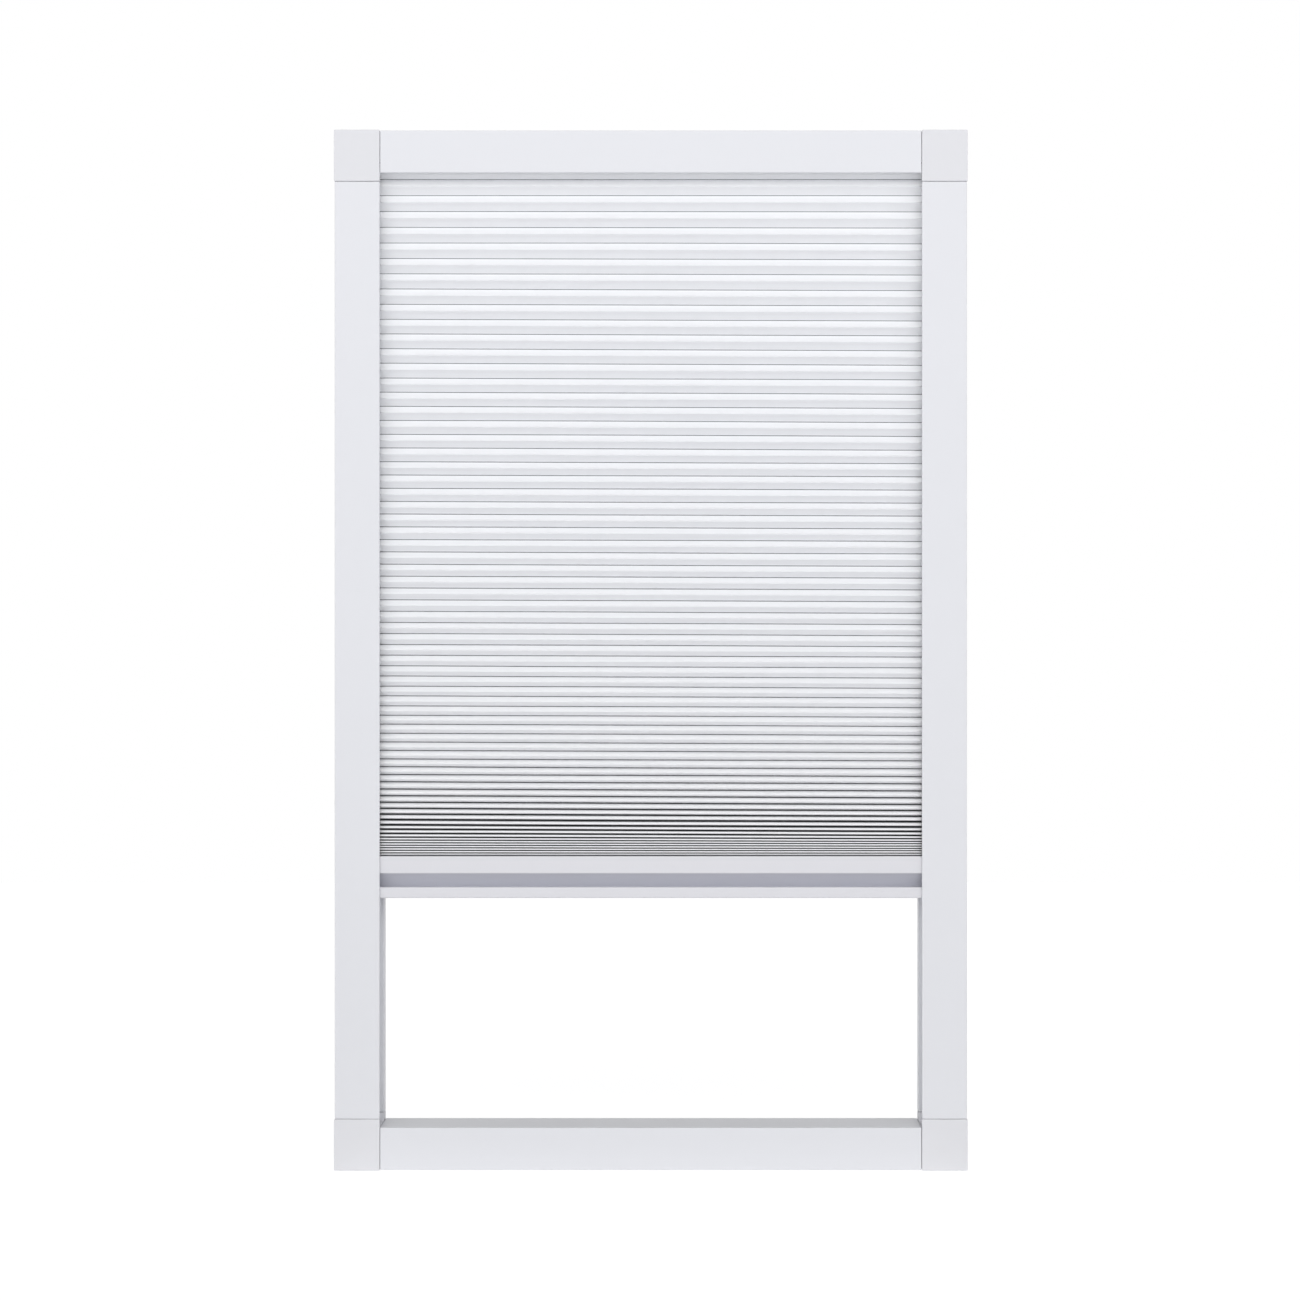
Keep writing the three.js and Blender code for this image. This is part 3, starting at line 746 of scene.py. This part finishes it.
    def tube(self, corners: list[Pair]) -> tuple[BMesh, list[BMEdge]]:
        """Runs a closed section along the blind's width.

        Args:
            corners: The section's corners as (depth, height).

        Returns:
            The bmesh, and its long edges in the corners' order.
        """
        bm = bmesh.new()
        ring = [bm.verts.new((-self.half_width, self.middle + y, z)) for y, z in corners]
        loop = [bm.edges.new((vert, ring[i - 1])) for i, vert in enumerate(ring)]
        grown = bmesh.ops.extrude_edge_only(bm, edges=loop)["geom"]
        far = [item for item in grown if isinstance(item, BMVert)]
        bmesh.ops.translate(bm, verts=far, vec=2 * self.half_width * LEVEL)
        bmesh.ops.recalc_face_normals(bm, faces=bm.faces)
        long_edges = [edge for vert in ring for edge in vert.link_edges if self.is_long(edge)]
        return bm, long_edges

    def is_long(self, edge: BMEdge) -> bool:
        """Whether an edge runs along the blind's width."""
        return abs(edge.verts[0].co.x - edge.verts[1].co.x) > self.facet

    def map_cloth(self, bm: BMesh, cell: Cell) -> None:
        """Writes the cloth map, which follows the strip, and the fold map, for the painted shade in the
        valleys.

        Args:
            bm: The cell's bmesh.
            cell: The cell.
        """
        cloth = bm.loops.layers.uv.new("cloth")
        fold = bm.loops.layers.uv.new("fold")
        depth, band = self.middle, self.glue_band / 2
        middle = (cell.bottom + cell.top) / 2
        core, reach = self.shade(cell)
        for face in bm.faces:
            centre = face.calc_center_median()
            front, low = centre.y < depth, centre.z < middle
            # The lowest cell, which follows the rail fully, gets the most painted shade where it lies on the
            # rail.
            dark = core + (self.seat_shade if low and cell.low_share == 1.0 else 0.0)
            for corner in face.loops:
                place = corner.vert.co
                out = max(0.0, abs(place.y - depth) - band)
                near = cell.bottom if low else cell.top
                run = math.hypot(out, place.z - near)
                inner = min(abs(place.y - depth), band)
                along = inner + run if low else 2 * band + 2 * self.facet - inner - run
                corner[cloth].uv = (place.x, along if front else self.around - along)
                corner[fold].uv = ((abs(place.z - near) - dark) / (reach - core), cell.openness)

    def ripple(self, bm: BMesh, cell: Cell, number: int) -> None:
        """Lets the creases wander a little, and leaves the glue bands where they are.

        Args:
            bm: The cell's bmesh.
            cell: The cell.
            number: The cell's number, which picks its own ripple.
        """
        depth, band = self.middle, self.glue_band / 2
        rise = min(self.waviness, self.wave_pitch_share * cell.pitch)
        for vert in bm.verts:
            out = (abs(vert.co.y - depth) - band) / self.facet
            if out <= 0:
                continue
            side = 1.0 if vert.co.y < depth else 2.0
            seed = Vector((vert.co.x / self.wave_length, number * self.seeds[0], side * self.seeds[1]))
            vert.co.z += out * rise * noise.noise(seed)

    def line_shift(self, line: int, x: float) -> float:
        """How far a glue line lies above or below its level place: it hangs askew and wanders a little.

        Args:
            line: The line's number, 0 on the handle rail.
            x: The place along it.

        Returns:
            The distance, upwards.
        """
        if line in (0, len(self.cells)):
            return 0.0
        below, above = self.cells[line - 1], self.cells[line]
        amount = min(self.wander, self.wander_share * min(below.pitch, above.pitch))
        stray = amount * noise.noise(Vector((x / self.wander_length, line * self.seeds[0], self.seeds[2])))
        from_head = (self.cells[-1].top - below.top) / self.askew_below_head
        from_rail = (below.top - self.cells[0].bottom) / self.askew_above_rail
        return stray - self.askew * min(1.0, from_head, from_rail) * x / self.half_width

    def shift(self, bm: BMesh, cell: Cell, number: int) -> None:
        """Moves a cell's vertices with its two glue lines, so that it stays joined to its neighbours.

        Args:
            bm: The cell's bmesh.
            cell: The cell.
            number: The cell's number, counted from the handle rail.
        """
        for vert in bm.verts:
            height = (vert.co.z - cell.bottom) / cell.pitch
            low, high = (self.line_shift(line, vert.co.x) for line in (number - 1, number))
            vert.co.z += low + (high - low) * height

    def cell_piece(self, cell: Cell, number: int) -> Object:
        """Folds one cell.

        Args:
            cell: The cell.
            number: Its number, counted from the handle rail.

        Returns:
            The cell as a piece.
        """
        bm, long_edges = self.tube(self.section(cell))
        nose = self.crease(cell)
        creases = [long_edges[place] for place in (1, 2, 5, 6)]
        bmesh.ops.bevel(bm, geom=creases, offset=self.crease_round * nose, segments=self.crease_segments,
                        profile=0.5, affect="EDGES", clamp_overlap=True, material=-1)
        rows = [edge for edge in bm.edges if self.is_long(edge)]
        bmesh.ops.subdivide_edges(bm, edges=rows, cuts=self.columns - 1, use_grid_fill=True)
        self.map_cloth(bm, cell)
        self.ripple(bm, cell, number)
        self.shift(bm, cell, number)
        crest = max(abs(vert.co.y - self.middle) for vert in bm.verts)
        for face in bm.faces:
            depth = abs(face.calc_center_median().y - self.middle)
            face.smooth = depth > crest - self.crease_shine * nose
        piece = piece_from(bm, f"honeycomb_cell_{number:02d}")
        self.thicken(piece)
        return piece

    def thicken(self, piece: Object) -> None:
        """Gives a strip the cloth's thickness, on its inner side.

        Args:
            piece: The strip's piece.
        """
        wall = piece.modifiers.new("cloth", "SOLIDIFY")
        wall.thickness = self.cloth
        wall.offset = -1.0
        settle(piece)

    def stretch(self, piece: Object) -> None:
        """Bakes a cell's transform into its mesh.

        Args:
            piece: The cell's piece.
        """
        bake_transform(piece)

    def trapped_cell(self, end: str, body: Body, up: int) -> Object:
        """Flattens an end cell round its strip, inside the groove of the head rail or the handle rail.

        Args:
            end: The rail, head or handle.
            body: The body whose groove holds it.
            up: 1 where the groove lies above the rail's face, -1 where it lies below.

        Returns:
            The end cell as a piece.
        """
        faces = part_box(f"{end}_rail")
        edge = (faces[0] if up > 0 else faces[1]).z
        neck = self.slot_mouth - self.neck_play
        wide = self.slot_half - self.clearance
        start = edge - up * self.seat_gap
        near = edge + up * (self.slot_lip + self.clearance)
        far = edge + up * (self.slot_lip + self.slot_height - self.clearance)
        front = [(-neck, start), (-neck, near), (-wide, near), (-wide, far)]
        bm = self.tube(front + [(-depth, height) for depth, height in reversed(front)])[0]
        self.map_cloth(bm, Cell(min(start, far), max(start, far), 1.0))
        piece = piece_from(bm, f"trapped_cell_{end}")
        self.thicken(piece)
        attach(piece, body.value)
        return piece

    def build(self, finishes: Finishes) -> None:
        """Makes all cells and the two trapped ones.

        Args:
            finishes: The finishes.
        """
        self.hang()
        pieces = []
        for number, cell in enumerate(self.cells, 1):
            piece = self.cell_piece(cell, number)
            self.stretch(piece)
            pieces.append(piece)
        ends = (("head", Body.FRAME, 1), ("handle", Body.RAIL, -1))
        for end, body, up in ends:
            piece = self.trapped_cell(end, body, up)
            pieces.append(piece)
        for piece in pieces:
            finishes.dress(piece, Slot.FABRIC)
            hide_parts("honeycomb_fabric")
        log.info("%d cells and %d trapped end cells stand for honeycomb_fabric", len(self.cells), len(ends))


@dataclass
class CrossScrew:
    """A countersunk screw with a cross recess, for a node whose screw points towards -Y.

    Attributes:
        node, body: The screw's node, and the body that it rides on.
        head, shank, rim: The radii of its head and shank, and the height of the head's rim.
        recess, slot_width, slot_reach: The cross's depth, and the width and length of its arms.
        slot_taper: The share of the arms' size that is left at their deep end.
        weld, steps: The distance under which corners are one, and the number of steps round the screw.
    """

    node: str
    body: Body
    head: float = 3.0 * MM
    shank: float = 1.5 * MM
    recess: float = 1.6 * MM
    slot_width: float = 0.9 * MM
    slot_reach: float = 1.75 * MM
    slot_taper: float = 0.45
    rim: float = 0.2 * MM
    weld: float = 0.01 * MM
    steps: int = 32

    def build(self, finishes: Finishes) -> None:
        """Turns the screw, presses its cross and puts it in place.

        Args:
            finishes: The finishes.
        """
        low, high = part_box(self.node)
        middle = (low + high) / 2
        length = high.y - low.y
        outline = [(0.0, 0.0), (self.head - self.rim, 0.0), (self.head, self.rim),
                   (self.shank, self.head - self.shank + self.rim), (self.shank, length - self.shank),
                   (0.0, length)]
        bm = bmesh.new()
        verts = [bm.verts.new((middle.x + r, high.y - depth, middle.z)) for r, depth in outline]
        edges = [bm.edges.new(pair) for pair in zip(verts, verts[1:])]
        bmesh.ops.spin(bm, geom=verts + edges, cent=(middle.x, 0.0, middle.z), axis=(0.0, 1.0, 0.0),
                       angle=math.tau, steps=self.steps, use_merge=True)
        bmesh.ops.remove_doubles(bm, verts=bm.verts, dist=self.weld)
        bmesh.ops.recalc_face_normals(bm, faces=bm.faces)
        piece = piece_from(bm, f"{self.node}_turned")
        for turn in (0.0, math.pi / 2):
            cutter = self.bar(Vector((middle.x, high.y, middle.z)), turn)
            pressed = piece.modifiers.new("cross", "BOOLEAN")
            pressed.operation = "DIFFERENCE"
            pressed.solver = "EXACT"
            pressed.object = cutter
            settle(piece)
            bpy.data.objects.remove(cutter)
        finishes.dress(piece, Slot.SCREW)
        hand_over(piece, self.node, self.body)

    def bar(self, top: Vector, turn: float) -> Object:
        """Makes the tapered bar that cuts one arm of the cross.

        Args:
            top: The middle of the head's face.
            turn: How far the arm is turned about the screw.

        Returns:
            The cutter, which isn't part of the blind.
        """
        bm = bmesh.new()
        bmesh.ops.create_cone(bm, cap_ends=True, segments=4, radius1=self.slot_reach,
                              radius2=self.slot_taper * self.slot_reach, depth=2 * self.recess)
        bmesh.ops.rotate(bm, verts=bm.verts, matrix=Matrix.Rotation(math.pi / 4, 3, "Z"))
        narrow = self.slot_width / (math.sqrt(2) * self.slot_reach)
        bmesh.ops.scale(bm, verts=bm.verts, vec=(1.0, narrow, 1.0))
        bmesh.ops.rotate(bm, verts=bm.verts, matrix=Matrix.Rotation(turn, 3, "Z"))
        bmesh.ops.rotate(bm, verts=bm.verts, matrix=Matrix.Rotation(math.pi / 2, 3, "X"))
        bmesh.ops.translate(bm, verts=bm.verts, vec=top)
        return piece_from(bm, "cross_cutter")


@dataclass
class Frame:
    """The outer frame: two rails, two stiles and four corner blocks, with their screws.

    Attributes:
        profile_ease, block_ease: The widths of the profiles' and the blocks' eased edges.
        seam_trim: The width of the seams between them.
    """

    profile_ease: float = 0.3 * MM
    block_ease: float = 0.25 * MM
    seam_trim: float = 0.25 * MM

    def build(self, finishes: Finishes) -> None:
        """Makes the frame's pieces.

        Args:
            finishes: The finishes.
        """
        for node in ("top_frame_rail", "bottom_frame_rail", "left_frame_stile", "right_frame_stile"):
            member = RigidPart(node, Slot.ALUMINIUM, Body.FRAME, self.profile_ease, trim=self.seam_trim)
            member.build(finishes)
        for side in Side:
            for end in ("top", "bottom"):
                where = f"{end}_{side.value}"
                block = RigidPart(f"corner_block_{where}", Slot.MOULDING, Body.FRAME, self.block_ease)
                block.build(finishes)
                for member in ("stile", "rail"):
                    CrossScrew(f"{member}_screw_{where}", Body.FRAME).build(finishes)


@dataclass
class HeadRail:
    """The hidden head rail, with its caps, clips, clip screws and strip.

    Attributes:
        clips: How many clips hold it.
    """

    clips: int = 3

    def build(self, finishes: Finishes) -> None:
        """Dresses the head rail's pieces.

        Args:
            finishes: The finishes.
        """
        RigidPart("head_rail", Slot.ALUMINIUM, Body.FRAME).build(finishes)
        for side in Side:
            RigidPart(f"head_rail_cap_{side.value}", Slot.MOULDING, Body.FRAME).build(finishes)
        for clip in range(1, self.clips + 1):
            finishes.dress(finishes.nodes[f"head_rail_clip_{clip}"], Slot.SPRING)
            finishes.dress(finishes.nodes[f"clip_screw_{clip}"], Slot.SCREW)
        RigidPart("head_fabric_strip", Slot.STRIP, Body.FRAME).build(finishes)
        log.info("the head rail's clips and clip screws are dressed")


@dataclass
class HandleRail:
    """The sliding rail, with its strip and, at each end, a carriage, a pad, a spring and a screw.

    Attributes:
        ease, pad_ease: The widths of the eased edges of the rail and its carriages, and of the pads.
        tone: The colour of the rail's coat, linear.
        groove_low, groove_high: Opposite corners of the finger groove and its painted shade, as (depth,
            height) from the rail's.
    """

    ease: float = 0.2 * MM
    pad_ease: float = 0.5 * MM
    tone: Colour = (0.785, 0.782, 0.81)
    groove_low: Pair = (1.2 * MM, 9.7 * MM)
    groove_high: Pair = (14.0 * MM, 24.1 * MM)

    def coat(self) -> Material:
        """Mixes the rail's coat, with painted shade that makes it greyer in the finger groove.

        Returns:
            The coat's material.
        """
        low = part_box("handle_rail")[0]
        corners = [(low.y + depth, low.z + height) for depth, height in (self.groove_low, self.groove_high)]
        return PaintedShadeRecessFinish("handle_coat_with_painted_shade", self.tone, *POWDER_COAT, low=corners[0],
                              high=corners[1]).material()

    def build(self, finishes: Finishes) -> None:
        """Makes and dresses the handle rail's pieces.

        Args:
            finishes: The finishes.
        """
        # The handle rail's coat has painted shade in its finger groove.
        finishes.of["handle"] = self.coat()
        rail = RigidPart("handle_rail", Slot.ALUMINIUM, Body.RAIL, self.ease, coat="handle")
        rail.build(finishes)
        RigidPart("handle_fabric_strip", Slot.STRIP, Body.RAIL).build(finishes)
        for side in Side:
            hand = side.value
            RigidPart(f"end_carriage_{hand}", Slot.NYLON, Body.RAIL, self.ease).build(finishes)
            RigidPart(f"friction_pad_{hand}", Slot.FELT, Body.RAIL, self.pad_ease).build(finishes)
            finishes.dress(finishes.nodes[f"pad_spring_{hand}"], Slot.SPRING)
            CrossScrew(f"carriage_screw_{hand}", Body.RAIL).build(finishes)
        log.info("the handle rail's springs are dressed")


@dataclass(frozen=True)
class Lamp:
    """A light that is far away.

    Attributes:
        name, strength, colour: The lamp's name, how strong it is and its colour, linear.
        comes_from, width: The direction in which it lies, and how wide it looks, in degrees.
    """

    name: str
    strength: float
    comes_from: Triple
    width: float
    colour: Colour = (1.0, 1.0, 1.0)

    def hang(self) -> None:
        """Adds the lamp to the scene."""
        light = bpy.data.lights.new(self.name, "SUN")
        light.energy = self.strength
        light.color = self.colour
        light.angle = math.radians(self.width)
        made = bpy.data.objects.new(self.name, light)
        made.rotation_euler = Vector(self.comes_from).to_track_quat("Z", "Y").to_euler()
        bpy.context.scene.collection.objects.link(made)


@dataclass
class Studio:
    """The camera, the lamps, the white surroundings and the floor.

    Attributes:
        distance, aside, above: The camera's place before the blind, right of its middle and above it.
        sensor, focal: The widths of its sensor and its lens, in its own millimetres.
        nearest: The distance from which it sees.
        frame_width, wanted_x, wanted_y: The photograph's width and the blind's middle in it, in pixels.
        ambient, sky: How bright the surroundings are for the blind, and their colour.
        lamps: The lamps.
        floor_half, floor_gap: Half the floor's width, and how far it lies below the blind.
        floor_glow, floor_pale: How much light it gives to the blind, and how much it reflects.
        floor_seen, floor_matt: The same for the camera.
    """

    distance: float = 2030 * MM
    aside: float = 35 * MM
    above: float = 9 * MM
    sensor: float = 36.0
    focal: float = 58.42
    nearest: float = 0.05
    frame_width: float = 1300.0
    wanted_x: float = 650.8
    wanted_y: float = 650.2
    ambient: float = 0.12
    sky: Colour = (0.96, 0.965, 1.0)
    lamps: tuple[Lamp, ...] = (
        Lamp("front_wall", 2.95, (0.0, -1.0, -0.08), 150.0, (0.95, 0.96, 1.0)),
        Lamp("key", 0.28, (0.0, -1.0, 0.7), 30.0, (1.0, 0.96, 0.8)),
        Lamp("back_left", 0.25, (-1.0, 0.8, 0.0), 40.0),
        Lamp("back_right", 0.25, (1.0, 0.8, 0.0), 40.0),
    )
    floor_half: float = 2.4
    floor_gap: float = 1.0 * MM
    floor_glow: float = 0.15
    floor_pale: float = 0.9
    floor_seen: float = 0.9
    floor_matt: float = 0.3

    def camera(self) -> None:
        """Sets the camera at the photograph's place, with the small shift of its framing."""
        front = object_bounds()[0][1]
        lens = bpy.data.cameras.new("camera")
        lens.sensor_width = self.sensor
        lens.lens = self.focal
        lens.clip_start = self.nearest
        pixel = self.sensor / self.focal * self.distance / self.frame_width
        middle = self.frame_width / 2
        lens.shift_x = -(self.aside / pixel + self.wanted_x - middle) / self.frame_width
        lens.shift_y = -(self.above / pixel - (self.wanted_y - middle)) / self.frame_width
        made = bpy.data.objects.new("camera", lens)
        made.location = (self.aside, front - self.distance, self.above)
        made.rotation_euler = (math.pi / 2, 0.0, 0.0)
        bpy.context.scene.collection.objects.link(made)
        bpy.context.scene.camera = made

    def surroundings(self) -> None:
        """Makes the world: an even, faintly cool light on the blind, and plain white where it is seen."""
        world = bpy.data.worlds.new("studio")
        world.use_nodes = True
        bpy.context.scene.world = world
        build = NodeTree(world.node_tree)
        path = build.add("LightPath")
        seen = build.maths("MAXIMUM", path.outputs["Is Camera Ray"], path.outputs["Is Glossy Ray"])
        seen = build.maths("MAXIMUM", seen, path.outputs["Is Transmission Ray"])
        light = build.add("Background", {"Color": (*self.sky, 1), "Strength": self.ambient})
        white = build.add("Background", {"Color": WHITE, "Strength": 1.0})
        mixed = build.add("MixShader", {0: seen, 1: light.outputs[0], 2: white.outputs[0]})
        build.add("OutputWorld", {"Surface": mixed.outputs[0]})

    def floor(self) -> None:
        """Lays a pale, lit floor under the blind, white where it is seen, apart from a faint shadow."""
        bm = bmesh.new()
        bmesh.ops.create_grid(bm, x_segments=1, y_segments=1, size=self.floor_half)
        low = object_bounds()[0]
        bmesh.ops.translate(bm, verts=bm.verts, vec=(low[2] - self.floor_gap) * UP)
        plane = piece_from(bm, "floor")
        made, build = new_material("floor")
        path = build.add("LightPath")
        seen = build.maths("MAXIMUM", path.outputs["Is Camera Ray"], path.outputs["Is Glossy Ray"])
        glow = build.add("Emission", {"Color": WHITE, "Strength": self.floor_seen})
        matt = build.add("BsdfDiffuse", {"Color": (*[self.floor_matt] * 3, 1)})
        pale = build.add("BsdfDiffuse", {"Color": (*[self.floor_pale] * 3, 1)})
        fill = build.add("Emission", {"Color": (*self.sky, 1), "Strength": self.floor_glow})
        lit = build.add("AddShader", {0: pale.outputs[0], 1: fill.outputs[0]})
        bright = build.add("AddShader", {0: glow.outputs[0], 1: matt.outputs[0]})
        mixed = build.add("MixShader", {0: seen, 1: lit.outputs[0], 2: bright.outputs[0]})
        build.add("OutputMaterial", {"Surface": mixed.outputs[0]})
        plane.data.materials.append(made)
        plane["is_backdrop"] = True

    def build(self) -> None:
        """Sets up the whole studio."""
        self.camera()
        self.surroundings()
        self.floor()
        for lamp in self.lamps:
            lamp.hang()
        bpy.context.scene.view_settings.view_transform = "Standard"
        log.info("the studio is set up")


def main() -> None:
    """Builds the studio and every part of the blind."""
    logging.basicConfig(level=logging.INFO, format="%(message)s")
    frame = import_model()
    Studio().build()
    finishes = Finishes(frame["nodes"])
    for assembly in (Frame(), HeadRail(), HandleRail(), Honeycomb()):
        assembly.build(finishes)


if __name__ == "__main__":
    main()
